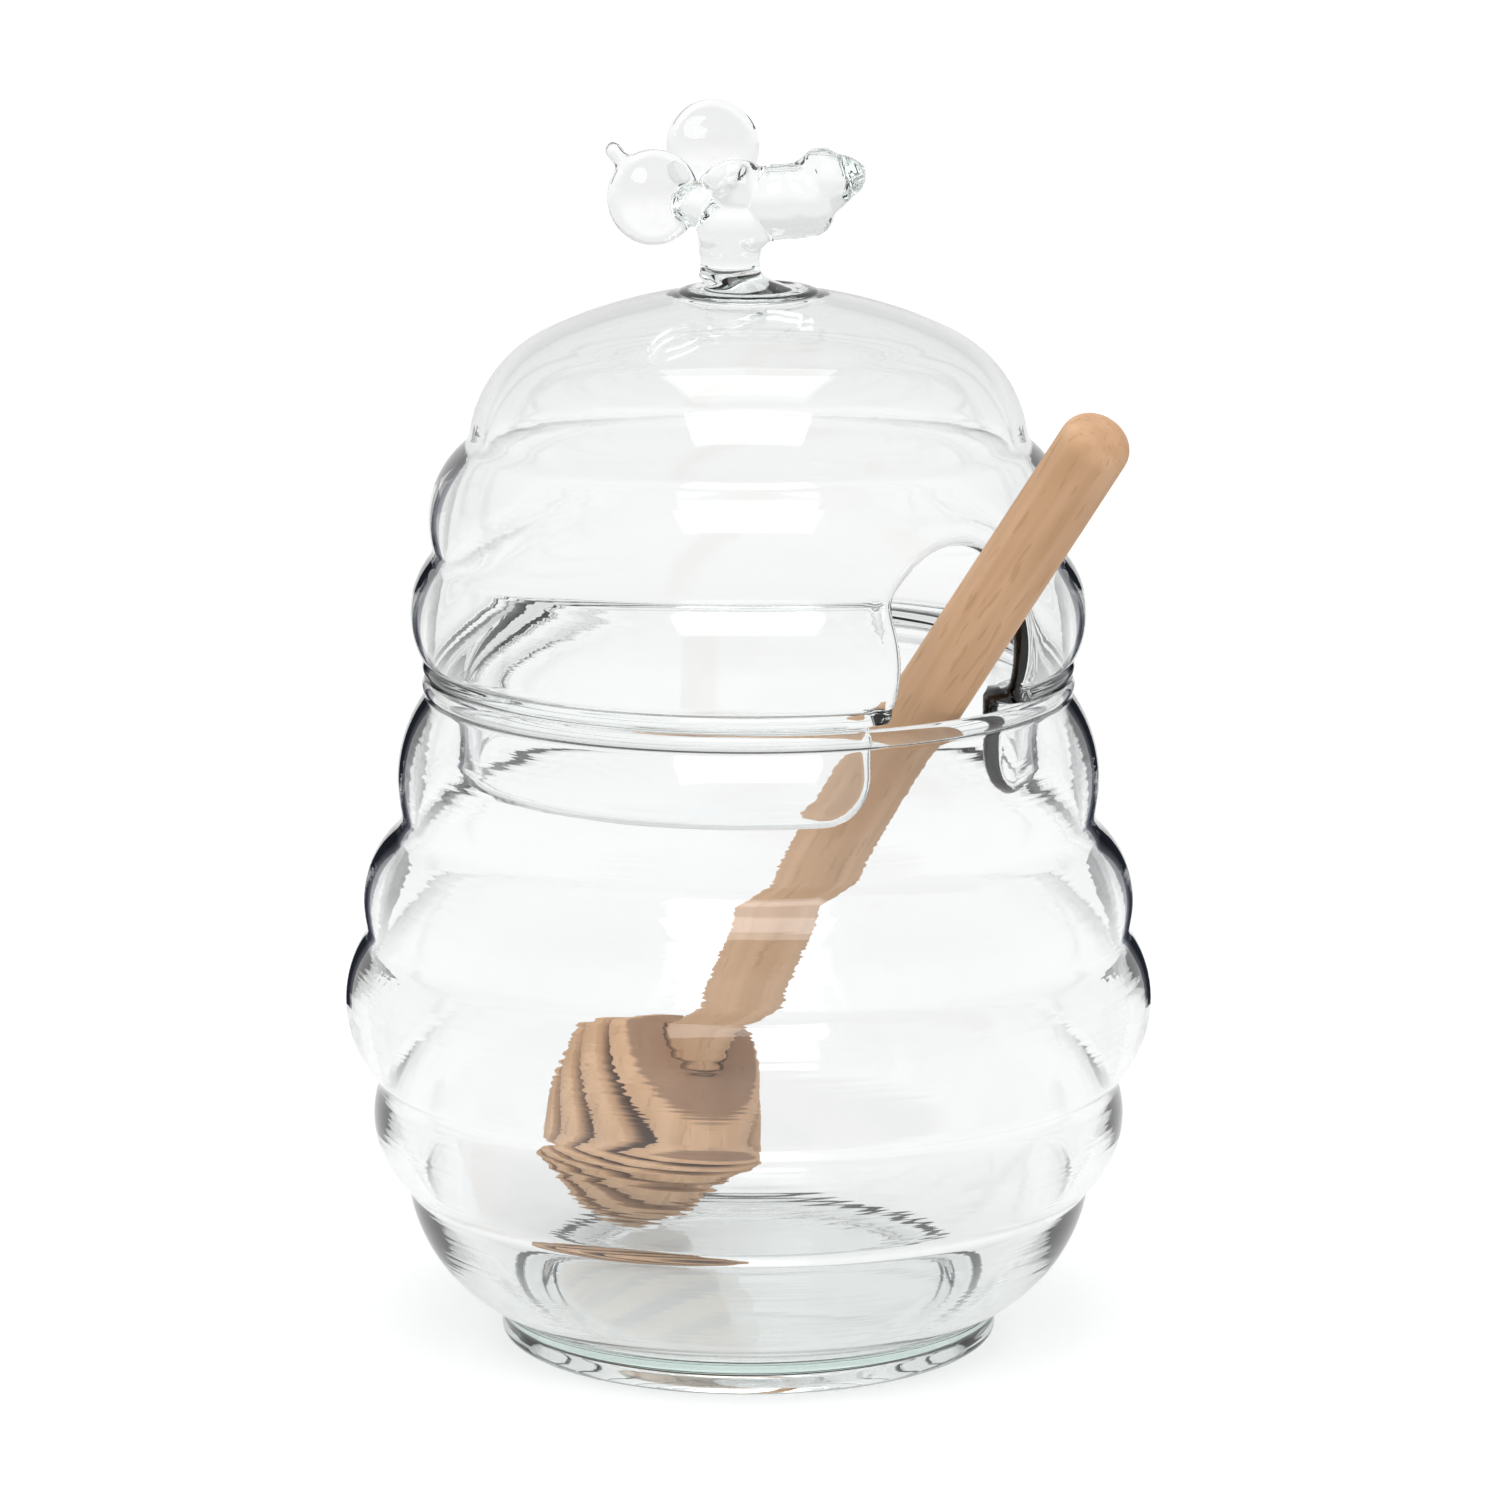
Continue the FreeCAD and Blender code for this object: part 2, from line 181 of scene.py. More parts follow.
def spread(outline, longest, sharpest):
    """Choose points so that no step is longer, or turns by more degrees, than it may."""
    along = lengths(outline)
    effort = np.concatenate([[0], np.cumsum(np.diff(along) / longest + turning(outline) / sharpest)])
    wanted = np.linspace(0, effort[-1], int(effort[-1]) + 2)
    return at_lengths(outline, np.interp(wanted, effort, along))


# %% [markdown]
# ## The jar's own outline
#
# The section of the glass starts in the middle of the inside floor, climbs the inner wall, goes over the
# round lip, comes down the outer ribs, and ends under the foot. The inner ribs are shallower than the
# outer ones, because glass in a mould only takes the mould's shape sharply where it touches. That
# difference makes each rib a weak lens, which is what bends the dipper's handle behind it. A wide
# round joins the inside floor to the wall.

# %% The jar's section
JAR_WALL = 2.0
JAR_CREASES = [(41.9, 88.7), (45.7, 69.9), (50.5, 55.4), (49.0, 35.7), (45.7, 21.4), (30.4, 3.6)]
JAR_BULGES = [2.5, 2.7, 4.0, 2.6, 3.6]
JAR_HOLLOWS = [3.6, 3.6, 3.0, 2.4]
LIP_RADIUS, LIP_TOP, LIP_TUBE = 42.0, 90.2, 1.3
LIP_STEP = 0.2
FLOOR, FLOOR_RISE, FLOOR_ROUND = 6.0, 0.6, 5.0
FOOT_RADIUS, FOOT_ROUND, FOOT_LAND = 33.2, 1.6, (28.6, 31.6)
RECESS_DEPTH = 1.8
INNER_SHARE = 0.86  # how much of an outer rib's bulge the inside shows
JAR_SOFTNESS = 0.35
JAR_LONGEST, JAR_SHARPEST = 2.1, 7.2  # longest step in mm and sharpest turn in degrees


def jar_section():
    """The closed section of the jar's glass, from the inside floor over the lip to under the foot."""
    lip = (LIP_RADIUS, LIP_TOP - LIP_TUBE)
    outer = ribbed(JAR_CREASES[0], rib_circles(JAR_CREASES, JAR_BULGES), JAR_HOLLOWS, JAR_CREASES[-1])
    inner = [(LIP_RADIUS - LIP_TUBE + LIP_STEP, JAR_CREASES[0][1])] + inset(JAR_CREASES, JAR_WALL)[1:]
    circles = rib_circles(inner, [bulge * INNER_SHARE for bulge in JAR_BULGES])
    centre, radius = circles[-1]
    corner = at_height(centre, radius - FLOOR_ROUND, FLOOR + FLOOR_ROUND)
    edge, meet = (corner[0], FLOOR), towards(centre, radius, corner)
    inside = ribbed(inner[0], circles, [hollow + JAR_WALL for hollow in JAR_HOLLOWS], meet)[::-1]
    basin = (edge[0] ** 2 + FLOOR_RISE ** 2) / (2 * FLOOR_RISE)
    floor = np.vstack([arc((0, FLOOR + FLOOR_RISE), edge, (0, FLOOR + FLOOR_RISE - basin)),
                       arc(edge, meet, corner)])

    def outside_lip(points):
        return points[np.hypot(points[:, 0] - lip[0], points[:, 1] - lip[1]) > LIP_TUBE]

    inside, outer = outside_lip(inside), outside_lip(outer)
    outer = outer[outer[:, 0] > FOOT_RADIUS]
    start = math.atan2(inside[-1][1] - lip[1], inside[-1][0] - lip[0]) + 2 * math.pi
    end = math.atan2(outer[0][1] - lip[1], outer[0][0] - lip[0])
    land_in, land_out = FOOT_LAND
    foot = np.vstack([
        [(FOOT_RADIUS, outer[-1][1])],
        sweep((land_out, FOOT_ROUND), FOOT_RADIUS - land_out, 0, -math.pi / 2),
        [(land_in, 0), (land_in - RECESS_DEPTH, RECESS_DEPTH), (0, RECESS_DEPTH)]])
    return np.vstack([floor, inside, sweep(lip, LIP_TUBE, start % (2 * math.pi), end), outer, foot])


jar_outline = spread(soften(jar_section(), JAR_SOFTNESS), JAR_LONGEST, JAR_SHARPEST)
print("jar outline:", len(jar_outline), "points, widest", round(jar_outline[:, 0].max(), 2), "mm")

# %% [markdown]
# ## Wires: node maths in plain Python
#
# Shader and geometry trees are both nodes and links. This small class wraps one output socket, so that
# an expression such as `1 - mask * 0.3` adds the Math nodes that work it out. One method adds any other
# node: its settings come first, then what goes into its sockets.

# %% The wire class
class Wire:
    """One output of a node in a tree."""

    def __init__(self, tree, socket=None):
        self.tree = tree
        self.socket = socket

    def node(self, kind, settings=(), inputs=(), output=0):
        """Add a node with settings and with values or wires for its inputs, and give one output."""
        made = self.tree.nodes.new(kind)
        for name, value in dict(settings).items():
            setattr(made, name, value)
        for name, value in dict(inputs).items():
            if isinstance(value, Wire):
                self.tree.links.new(value.socket, made.inputs[name])
            else:
                made.inputs[name].default_value = value
        return Wire(self.tree, made.outputs[output] if len(made.outputs) else None)

    def maths(self, operation, *values):
        return self.node("ShaderNodeMath", {"operation": operation}, dict(enumerate(values)))

    def __add__(self, other):
        return self.maths("ADD", self, other)

    def __sub__(self, other):
        return self.maths("SUBTRACT", self, other)

    def __rsub__(self, other):
        return self.maths("SUBTRACT", other, self)

    def __mul__(self, other):
        return self.maths("MULTIPLY", self, other)

    def __truediv__(self, other):
        return self.maths("DIVIDE", self, other)

    def __rtruediv__(self, other):
        return self.maths("DIVIDE", other, self)

    def __pow__(self, other):
        return self.maths("POWER", self, other)

    __radd__ = __add__
    __rmul__ = __mul__

    def ramp(self, low, high):
        """0 below low, 1 above high, and a soft slope between them."""
        return self.node("ShaderNodeMapRange", {"interpolation_type": "SMOOTHSTEP"},
                         {"Value": self, "From Min": low, "From Max": high})

    def blend(self, first, second):
        """A colour that goes from the first to the second as this wire goes from 0 to 1."""
        return self.node("ShaderNodeMix", {"data_type": "RGBA"}, {0: self, 6: first, 7: second}, output=2)

    def parts(self):
        """The X, Y and Z of a vector."""
        split = self.tree.nodes.new("ShaderNodeSeparateXYZ")
        self.tree.links.new(self.socket, split.inputs[0])
        return [Wire(self.tree, socket) for socket in split.outputs]


# %% [markdown]
# ## Turning an outline with Geometry Nodes
#
# A Screw modifier or the Spin tool would also turn the outline about the axis. The Geometry Nodes tree
# here does it in the open: it lays out a grid with one row for each point of the outline and one column
# for each step round the axis, and then moves every point of the grid to its place.

# %% The turning tree
def turning_tree():
    """A tree that turns the points of an outline in the XZ plane about Z."""
    tree = bpy.data.node_groups.new("Turned outline", "GeometryNodeTree")
    for name, kind in (("Outline", "Geometry"), ("Points", "Int"), ("Steps", "Int"), ("Finish", "Material")):
        tree.interface.new_socket(name, in_out="INPUT", socket_type="NodeSocket" + kind)
    tree.interface.new_socket("Turned", in_out="OUTPUT", socket_type="NodeSocketGeometry")
    given = tree.nodes.new("NodeGroupInput")
    outline, points, steps, finish = [Wire(tree, given.outputs[i]) for i in range(4)]
    start = Wire(tree)
    grid = start.node("GeometryNodeMeshGrid", {}, {"Vertices X": steps + 1, "Vertices Y": points})
    index = start.node("GeometryNodeInputIndex")
    row = start.maths("FLOORED_MODULO", index, points)
    column = (index - row) / points
    place = start.node("GeometryNodeSampleIndex", {"data_type": "FLOAT_VECTOR"},
                       {0: outline, 1: start.node("GeometryNodeInputPosition"), "Index": row})
    radius, _, height = place.parts()
    angle = column / steps * math.tau
    turned = start.node("ShaderNodeCombineXYZ", {}, {
        "X": radius * start.maths("COSINE", angle), "Y": radius * start.maths("SINE", angle), "Z": height})
    moved = start.node("GeometryNodeSetPosition", {}, {"Geometry": grid, "Position": turned})
    closed = start.node("GeometryNodeMergeByDistance", {}, {"Geometry": moved, "Distance": 1e-6})
    smooth = start.node("GeometryNodeSetShadeSmooth", {}, {"Geometry": closed})
    real = start.node("GeometryNodeRealizeInstances", {}, {"Geometry": smooth})
    done = start.node("GeometryNodeSetMaterial", {}, {"Geometry": real, "Material": finish})
    tree.links.new(done.socket, tree.nodes.new("NodeGroupOutput").inputs[0])
    return tree


def show(name, mesh):
    """An object in the scene that shows a mesh."""
    thing = bpy.data.objects.new(name, mesh)
    bpy.context.scene.collection.objects.link(thing)
    return thing


def finished_mesh(thing, name):
    """The mesh of an object as its modifiers leave it. The object itself is removed."""
    ready = thing.evaluated_get(bpy.context.evaluated_depsgraph_get())
    mesh = bpy.data.meshes.new_from_object(ready)
    mesh.name = name
    bpy.data.objects.remove(thing)
    return mesh


def face_outwards(mesh, merge=0.0):
    """Close doubled points and point every face out of the glass or wood."""
    work = bmesh.new()
    work.from_mesh(mesh)
    if merge:
        bmesh.ops.remove_doubles(work, verts=work.verts, dist=merge)
    bmesh.ops.recalc_face_normals(work, faces=work.faces)
    for face in work.faces:
        face.smooth = True
    work.to_mesh(mesh)
    work.free()
    return mesh


def turn_outline(name, outline, steps, finish):
    """A closed mesh turned from an outline in millimetres."""
    mesh = bpy.data.meshes.new(name + " outline")
    mesh.from_pydata([(r * MM, 0, z * MM) for r, z in outline],
                     [(i, i + 1) for i in range(len(outline) - 1)], [])
    thing = show(name, mesh)
    modifier = thing.modifiers.new("Turned", "NODES")
    modifier.node_group = TURNING
    values = {"Points": len(outline), "Steps": steps, "Finish": finish}
    for item in TURNING.interface.items_tree:
        if item.name in values:
            modifier[item.identifier] = values[item.name]
    return face_outwards(finished_mesh(thing, name))


TURNING = turning_tree()
print("turning tree:", len(TURNING.nodes), "nodes")

# %% [markdown]
# ## Clear glass
#
# The glass is borosilicate: clear, with a trace of green that only shows where one looks along it, as at
# the lip. Glass blown in a turning mould keeps fine level lines and a slow unevenness, and both bend
# what is behind it. A shader could fake that with a picture of streaks. Here the bending is real: the
# pieces have a wall with two sides, and a little bump, drawn out level, tilts the surface.
#
# Lamps would throw a black shadow through plain glass, because a path tracer can't find a small lamp
# through two bent surfaces. So shadow rays see a thin, slightly grey sheet.

# %% The glass material
LINE_SCALE, SLOW_SCALE = (9, 9, 850), (30, 30, 75)  # level lines and slow unevenness, for each metre
GLASS_IOR = 1.47
GLASS_WHITE = (0.988, 0.990, 0.990, 1)
TINT, TINT_DENSITY = (0.68, 0.93, 0.84, 1), 10.0
SHADOW_SHEET = (0.78, 0.79, 0.79, 1)  # what each surface lets through to a shadow


def new_material(name):
    """A material with an empty tree."""
    material = bpy.data.materials.new(name)
    material.use_nodes = True
    material.node_tree.nodes.clear()
    return material, Wire(material.node_tree)


def glass(name, level_lines, unevenness):
    """Blown glass with level lines and a slow unevenness of these heights, in millimetres."""
    material, start = new_material(name)
    place = start.node("ShaderNodeTexCoord", output="Object")
    level = start.node("ShaderNodeMapping", {}, {"Vector": place, "Scale": LINE_SCALE})
    lines = start.node("ShaderNodeTexNoise", {}, {"Vector": level, "Scale": 1.0, "Detail": 2.0})
    drawn = start.node("ShaderNodeMapping", {}, {"Vector": place, "Scale": SLOW_SCALE})
    slow = start.node("ShaderNodeTexNoise", {}, {"Vector": drawn, "Scale": 1.0, "Detail": 1.0})
    height = lines * level_lines + slow * unevenness
    bump = start.node("ShaderNodeBump", {}, {"Height": height, "Strength": 1.0, "Distance": MM})
    body = start.node("ShaderNodeBsdfPrincipled", {}, {
        "Base Color": GLASS_WHITE, "Roughness": 0.0, "IOR": GLASS_IOR,
        "Transmission Weight": 1.0, "Normal": bump})
    clear = start.node("ShaderNodeBsdfTransparent", {}, {"Color": SHADOW_SHEET})
    shadow = start.node("ShaderNodeLightPath", output="Is Shadow Ray")
    both = start.node("ShaderNodeMixShader", {}, {0: shadow, 1: body, 2: clear})
    tint = start.node("ShaderNodeVolumeAbsorption", {}, {"Color": TINT, "Density": TINT_DENSITY})
    start.node("ShaderNodeOutputMaterial", {}, {"Surface": both, "Volume": tint})
    return material


jar_glass = glass("Blown glass of the jar", 0.022, 0.06)
lid_glass = glass("Blown glass of the lid", 0.006, 0.05)

# %% [markdown]
# ## The jar
#
# One closed mesh from one outline. The frame's own jar node hides, and this piece stands for it.

# %% The jar
JAR_STEPS = 256


def stand_in(name, mesh, node):
    """Show a finished mesh as the piece that stands for a node of the frame."""
    piece = show(name, mesh)
    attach(piece, "root")
    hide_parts(node)
    corners = np.array([v.co for v in mesh.vertices])
    low, high = (corners.min(0) / MM).round(1), (corners.max(0) / MM).round(1)
    print(name, len(mesh.polygons), "faces, mm", low, high)


jar_mesh = turn_outline("blown_jar", jar_outline, JAR_STEPS, jar_glass)
stand_in("blown_jar", jar_mesh, "jar")

# %% [markdown]
# ## The lid's wall
#
# The lid is turned too, but a slot is cut through its dome, its shelf and its collar, and then the cut
# edge is melted round. A boolean would leave slivers along the cut, and slivers show in glass. So the
# wall is laid out as a sheet with an outer and an inner side that belong together. Near a cut edge the
# two sides close in on the middle of the wall like the end of a rounded lip.

# %% The lid's two sides
LID_WALL = 2.0
LID_TOP = 141.5
SHOULDER, SHOULDER_RADIUS = (19.9, 120.0), 17.0
LID_CREASES = [(36.7, 121.3), (41.5, 106.4), (43.4, 92.9)]
LID_BULGES = [2.7, 2.25]
LID_HOLLOWS = [3.0, 2.6]
SEAT = 90.3
SHELF_TUBE, SHELF_RADIUS, SHELF_STEP, COVE = 1.1, 42.15, 0.3, 1.5
COLLAR_RADIUS, COLLAR_WALL, COLLAR_DROP = 38.9, 2.1, 13.6
COLLAR_FOOT = SEAT - COLLAR_DROP
STEM_CUT, STEM_WAIST, STEM_FLARE = 145.4, 3.9, 4.9
BOSS_RADIUS, BOSS_DROP = 8.6, 2.4
SKIRT = 9.8  # radius of the melted glass round the stem's foot
STEM_SHIFT, STEM_BEND = 2.4, 1.5  # the stem stands to the left, and its foot bends over that height
STEM_SIDE = [  # the stem from its waist to the two soft rings round its foot, above the crown
    (STEM_WAIST, STEM_CUT - LID_TOP), (STEM_WAIST, STEM_CUT - LID_TOP - 1.6), (STEM_FLARE - 0.4, 1.0),
    (STEM_FLARE + 0.3, 0.25), (STEM_FLARE + 1.2, -0.35), (STEM_FLARE + 2.2, 0.05), (STEM_FLARE + 3.9, -0.15),
]
LID_SOFTNESS = 0.3
LID_LONGEST, LID_SHARPEST = 1.7, 8.5  # longest step in mm and sharpest turn in degrees


def crown(depth):
    """The circles of the lid's flat crown and of its shoulder, at a depth inside the glass."""
    rise = LID_TOP - SHOULDER[1]
    large = (SHOULDER[0] ** 2 + rise ** 2 - SHOULDER_RADIUS ** 2) / (2 * (rise - SHOULDER_RADIUS))
    return ((0, LID_TOP - large), large - depth), (SHOULDER, SHOULDER_RADIUS - depth)


def dome(depth, share):
    """The circles of the dome's shoulder and ribs at a depth, and where the crown joins the shoulder."""
    top, shoulder = crown(depth)
    creases = inset(LID_CREASES, depth)
    circles = [shoulder] + rib_circles(creases, [bulge * share for bulge in LID_BULGES])
    return circles, towards(*top, SHOULDER)


def nearest(outline, spot):
    """Which point of the outline is nearest to a spot."""
    return int(np.argmin(np.hypot(outline[:, 0] - spot[0], outline[:, 1] - spot[1])))


def outer_side():
    """The outside of the lid, from the stem's waist to the collar's foot, and its landmarks."""
    circles, join = dome(0, 1)
    top = crown(0)[0]
    shelf_top = SEAT + 2 * SHELF_TUBE
    low = at_height(*circles[-1], shelf_top + SHELF_STEP)
    tube = (SHELF_RADIUS, SEAT + SHELF_TUBE)
    skirt = (SKIRT, math.sqrt(top[1] ** 2 - SKIRT ** 2) + top[0][1])
    stem = [(radius, LID_TOP + above) for radius, above in STEM_SIDE]
    stem = np.array(stem + [(skirt[0] - 0.2, skirt[1] + 0.05)])
    shelf = sweep(tube, SHELF_TUBE, math.radians(60), math.radians(-90))
    side = np.vstack([stem, arc(skirt, join, top[0]), ribbed(join, circles, LID_HOLLOWS, low), shelf,
                      [(COLLAR_RADIUS, SEAT), (COLLAR_RADIUS, COLLAR_FOOT)]])
    return side, [join, low, (COLLAR_RADIUS, SEAT)]


def inner_side():
    """The inside of the lid, from the drop of glass under the stem to the collar's foot."""
    circles, join = dome(LID_WALL, INNER_SHARE)
    hollows = [hollow + LID_WALL for hollow in LID_HOLLOWS]
    top = crown(LID_WALL)[0]
    shelf_top = SEAT + 2 * SHELF_TUBE
    bore = COLLAR_RADIUS - COLLAR_WALL
    centre, radius = circles[-1]
    cove = at_height(centre, radius - COVE, shelf_top + COVE)
    meet = towards(centre, radius, cove)
    turn = np.linspace(-math.pi / 2, 0, ARC_POINTS)
    drop = np.column_stack([BOSS_RADIUS * np.cos(turn), LID_TOP - LID_WALL + BOSS_DROP * np.sin(turn)])
    ceiling = arc((0, LID_TOP - LID_WALL), join, top[0])
    side = np.vstack([drop, ceiling[ceiling[:, 0] > BOSS_RADIUS],
                      ribbed(join, circles, hollows, meet), arc(meet, (cove[0], shelf_top), cove),
                      arc((bore + COVE, shelf_top), (bore, shelf_top - COVE),
                          (bore + COVE, shelf_top - COVE)),
                      [(bore, COLLAR_FOOT)]])
    return side, [join, meet, (bore, shelf_top - COVE)]


def paired_sides(longest, sharpest, edge_rows):
    """The two sides as rows that belong together, with extra rows close to the collar's foot."""
    sides = []
    for side, marks in (outer_side(), inner_side()):
        side = soften(side, LID_SOFTNESS)
        cuts = [0] + [nearest(side, mark) for mark in marks] + [len(side) - 1]
        sides.append([side[a:b + 1] for a, b in zip(cuts, cuts[1:])])
    rows = []
    for outer, inner in zip(*sides):
        count = 4 * max(len(outer), len(inner))
        share = np.linspace(0, 1, count)
        pair = [at_lengths(part, share * lengths(part)[-1]) for part in (outer, inner)]
        effort = sum(np.maximum(lengths(part)[1:] - lengths(part)[:-1], 0) / (2 * longest)
                     + turning(part) / (1.5 * sharpest) for part in pair)
        effort = np.concatenate([[0], np.cumsum(effort)])
        wanted = np.interp(np.linspace(0, effort[-1], int(effort[-1]) + 2), effort, share)
        if outer is sides[0][-1]:
            run = lengths(outer)[-1]
            wanted = np.concatenate([wanted[wanted < 1 - 1.6 * edge_rows[-1] / run],
                                     1 - np.array(edge_rows[::-1]) / run])
        rows.append(np.hstack([np.column_stack([np.interp(wanted, share, part[:, k]) for k in (0, 1)])
                               for part in pair])[0 if not rows else 1:])
    return np.vstack(rows)


EDGE_ROWS = (0.0, 0.08, 0.3, 0.65, 1.1, 1.8)  # heights of the rows above the collar's foot
lid_rows = paired_sides(LID_LONGEST, LID_SHARPEST, EDGE_ROWS)
lid_middle = (lid_rows[:, :2] + lid_rows[:, 2:]) / 2
print("lid rows:", len(lid_rows))

# %% [markdown]
# The slot is an arch on straight sides, and the collar's corners beside it are rounded. For any place of
# the wall this cell works out how deep in the glass it is, measured from the nearest cut edge. With
# that depth the wall is rounded at the edge, and swells a little behind it, where the melted glass drew
# together.

# %% How deep in the glass a place is
LEAN_TURN = math.radians(39.4)  # from the front towards the right, for the slot and the dipper
SLOT_HALF, SLOT_TOP, SLOT_CORNER = 10.0, 112.6, 6.0
EDGE_ROUND = 0.95  # how deep in the glass the rounding of a cut edge starts
AT_EDGE = 0.01  # a place this close to the edge is on it
BEAD = 0.12  # how far the melted edge swells


def depth_in_glass(across, height, facing):
    """Distance to the nearest cut edge: the slot's where the wall faces it, or the collar's foot."""
    knee, spring = COLLAR_FOOT + SLOT_CORNER, SLOT_TOP - SLOT_HALF
    side = np.abs(across)
    corner = SLOT_CORNER - np.hypot(side - SLOT_HALF - SLOT_CORNER, height - knee)
    beside = np.where(height > spring, np.hypot(across, height - spring), side) - SLOT_HALF
    beside = np.where(facing, beside, np.inf)
    in_corner = facing & (height < knee) & (side < SLOT_HALF + SLOT_CORNER)
    return np.where(in_corner, corner, np.minimum(beside, height - COLLAR_FOOT))


def wall_points(rows, angles):
    """Outer and inner places, in metres, for rows of the wall and angles from the slot."""
    steps = np.arange(len(lid_rows))
    outer_r, outer_z, inner_r, inner_z = [np.interp(rows, steps, lid_rows[:, k]) for k in range(4)]
    middle_r, middle_z = (outer_r + inner_r) / 2, (outer_z + inner_z) / 2
    depth = depth_in_glass(middle_r * np.sin(angles), middle_z, np.cos(angles) > 0)
    closing = np.sqrt(1 - (1 - np.clip((depth - AT_EDGE) / EDGE_ROUND, 0, 1)) ** 2)
    swell = BEAD * np.exp(-((depth - EDGE_ROUND) / EDGE_ROUND) ** 2)
    places = []
    for radius, height in ((outer_r, outer_z), (inner_r, inner_z)):
        away_r, away_z = radius - middle_r, height - middle_z
        half = np.maximum(np.hypot(away_r, away_z), 1e-9)
        grow = closing * (1 + swell / half)
        r, z = middle_r + away_r * grow, middle_z + away_z * grow
        turn = angles + LEAN_TURN
        aside = STEM_SHIFT * np.clip((z - LID_TOP) / STEM_BEND, 0, 1) * (r < SKIRT)
        places.append(np.column_stack([r * np.sin(turn) - aside, -r * np.cos(turn), z]) * MM)
    return places


# %% [markdown]
# Away from the slot the sheet is a plain grid of rows and columns. Round the slot a patch of the grid
# is opened, and rings of points are laid beside the cut edge, each a little deeper in the glass. A
# Delaunay triangulation, which Blender has in mathutils, joins the rings to the grid.

# %% The sheet with its slot
LID_STEPS = 208
PATCH_STEPS = 20  # columns of the patch to each side of the slot's middle
PATCH_TOP = SLOT_TOP + 4.5
RINGS = (0.0, 0.08, 0.3, 0.65, 1.1, 1.8, 2.7)
RING_SPACING = 0.7
STRETCH = 40.0  # millimetres for one radian, so that the patch is drawn about as large as it is


def slot_ring(depth):
    """Points beside the slot's edge at a depth in the glass, as distance across and height."""
    knee, spring = COLLAR_FOOT + SLOT_CORNER, SLOT_TOP - SLOT_HALF
    corner = (SLOT_HALF + SLOT_CORNER, knee)
    flare = sweep(corner, SLOT_CORNER - depth, -math.pi / 2, -math.pi)
    arch = sweep((0, spring), SLOT_HALF + depth, 0, math.pi / 2)
    half = np.vstack([flare, [(SLOT_HALF + depth, spring)], arch])
    full = np.vstack([half, (half * (-1, 1))[::-1]])
    total = lengths(full)[-1]
    return at_lengths(full, np.linspace(0, total, int(total / RING_SPACING)))


def slot_patch():
    """Rows, angles and triangles of the patch of the wall round the slot."""
    first_row = int(np.argmax(lid_middle[:, 1] < PATCH_TOP))
    level = lid_middle[:, 1] - 1e-6 * np.arange(len(lid_middle))
    down = lengths(lid_middle)
    rows, columns = np.meshgrid(np.arange(first_row, len(lid_rows)),
                                np.arange(-PATCH_STEPS, PATCH_STEPS + 1), indexing="ij")
    rows, angles = rows.ravel(), columns.ravel() * math.tau / LID_STEPS
    across, height = lid_middle[rows, 0] * np.sin(angles), lid_middle[rows, 1]
    foot = (np.abs(across) > SLOT_HALF + SLOT_CORNER + 0.3) & (height < COLLAR_FOOT + RINGS[-1] + 0.8)
    keep = foot | (depth_in_glass(across, height, True) > RINGS[-1] + 0.35)
    spots = [np.column_stack([angles * STRETCH, down[rows]])[keep]]
    for depth in RINGS:
        ring = slot_ring(depth)
        row = np.interp(-ring[:, 1], -level, np.arange(len(level)))
        radius = np.interp(row, np.arange(len(level)), lid_middle[:, 0])
        angle = np.arcsin(ring[:, 0] / radius)
        spots.append(np.column_stack([angle * STRETCH, np.interp(row, np.arange(len(level)), down)]))
    start = len(spots[0])
    edge = [(start + i, start + i + 1) for i in range(len(spots[1]) - 1)]
    spots = [Vector(spot) for spot in np.vstack(spots)]
    spots, _, faces, *_ = geometry.delaunay_2d_cdt(spots, edge, [], 0, 1e-5)
    spots, faces = np.array(spots), np.array(faces)
    rows = np.interp(spots[:, 1], down, np.arange(len(down)))
    angles = spots[:, 0] / STRETCH
    centre = spots[faces].mean(1)
    radius, height = [np.interp(centre[:, 1], down, lid_middle[:, k]) for k in (0, 1)]
    glassy = depth_in_glass(radius * np.sin(centre[:, 0] / STRETCH), height, True) > 0
    return first_row, rows, angles, faces[glassy]


def lid_wall():
    """The wall of the lid: a bmesh of both sides, open only at the stem's waist."""
    first_row, rows, angles, faces = slot_patch()
    grid_rows, grid_columns = np.meshgrid(np.arange(len(lid_rows)), np.arange(LID_STEPS), indexing="ij")
    grid_angles = grid_columns.ravel() * math.tau / LID_STEPS
    quads = []
    for row in range(len(lid_rows) - 1):
        for column in range(LID_STEPS):
            from_slot = min(column, LID_STEPS - 1 - column)
            if row < first_row or from_slot >= PATCH_STEPS:
                here, beside = row * LID_STEPS + column, row * LID_STEPS + (column + 1) % LID_STEPS
                quads.append((here, beside, beside + LID_STEPS, here + LID_STEPS))
    work = bmesh.new()
    for side, (grid, patch) in enumerate(zip(wall_points(grid_rows.ravel(), grid_angles),
                                             wall_points(rows, angles))):
        for places, polygons in ((grid, quads), (patch, faces)):
            corners = [work.verts.new(place) for place in places]
            for polygon in polygons:
                work.faces.new([corners[i] for i in (polygon if side else polygon[::-1])])
    loose = [v for v in work.verts if not v.link_faces]
    bmesh.ops.delete(work, geom=loose, context="VERTS")
    bmesh.ops.remove_doubles(work, verts=work.verts, dist=2e-6)
    flat = [f for f in work.faces if f.calc_area() < 1e-13]
    print("lid wall:", len(work.faces), "faces,", len(flat), "flat,",
          sum(not e.is_manifold for e in work.edges), "open edges")
    return work


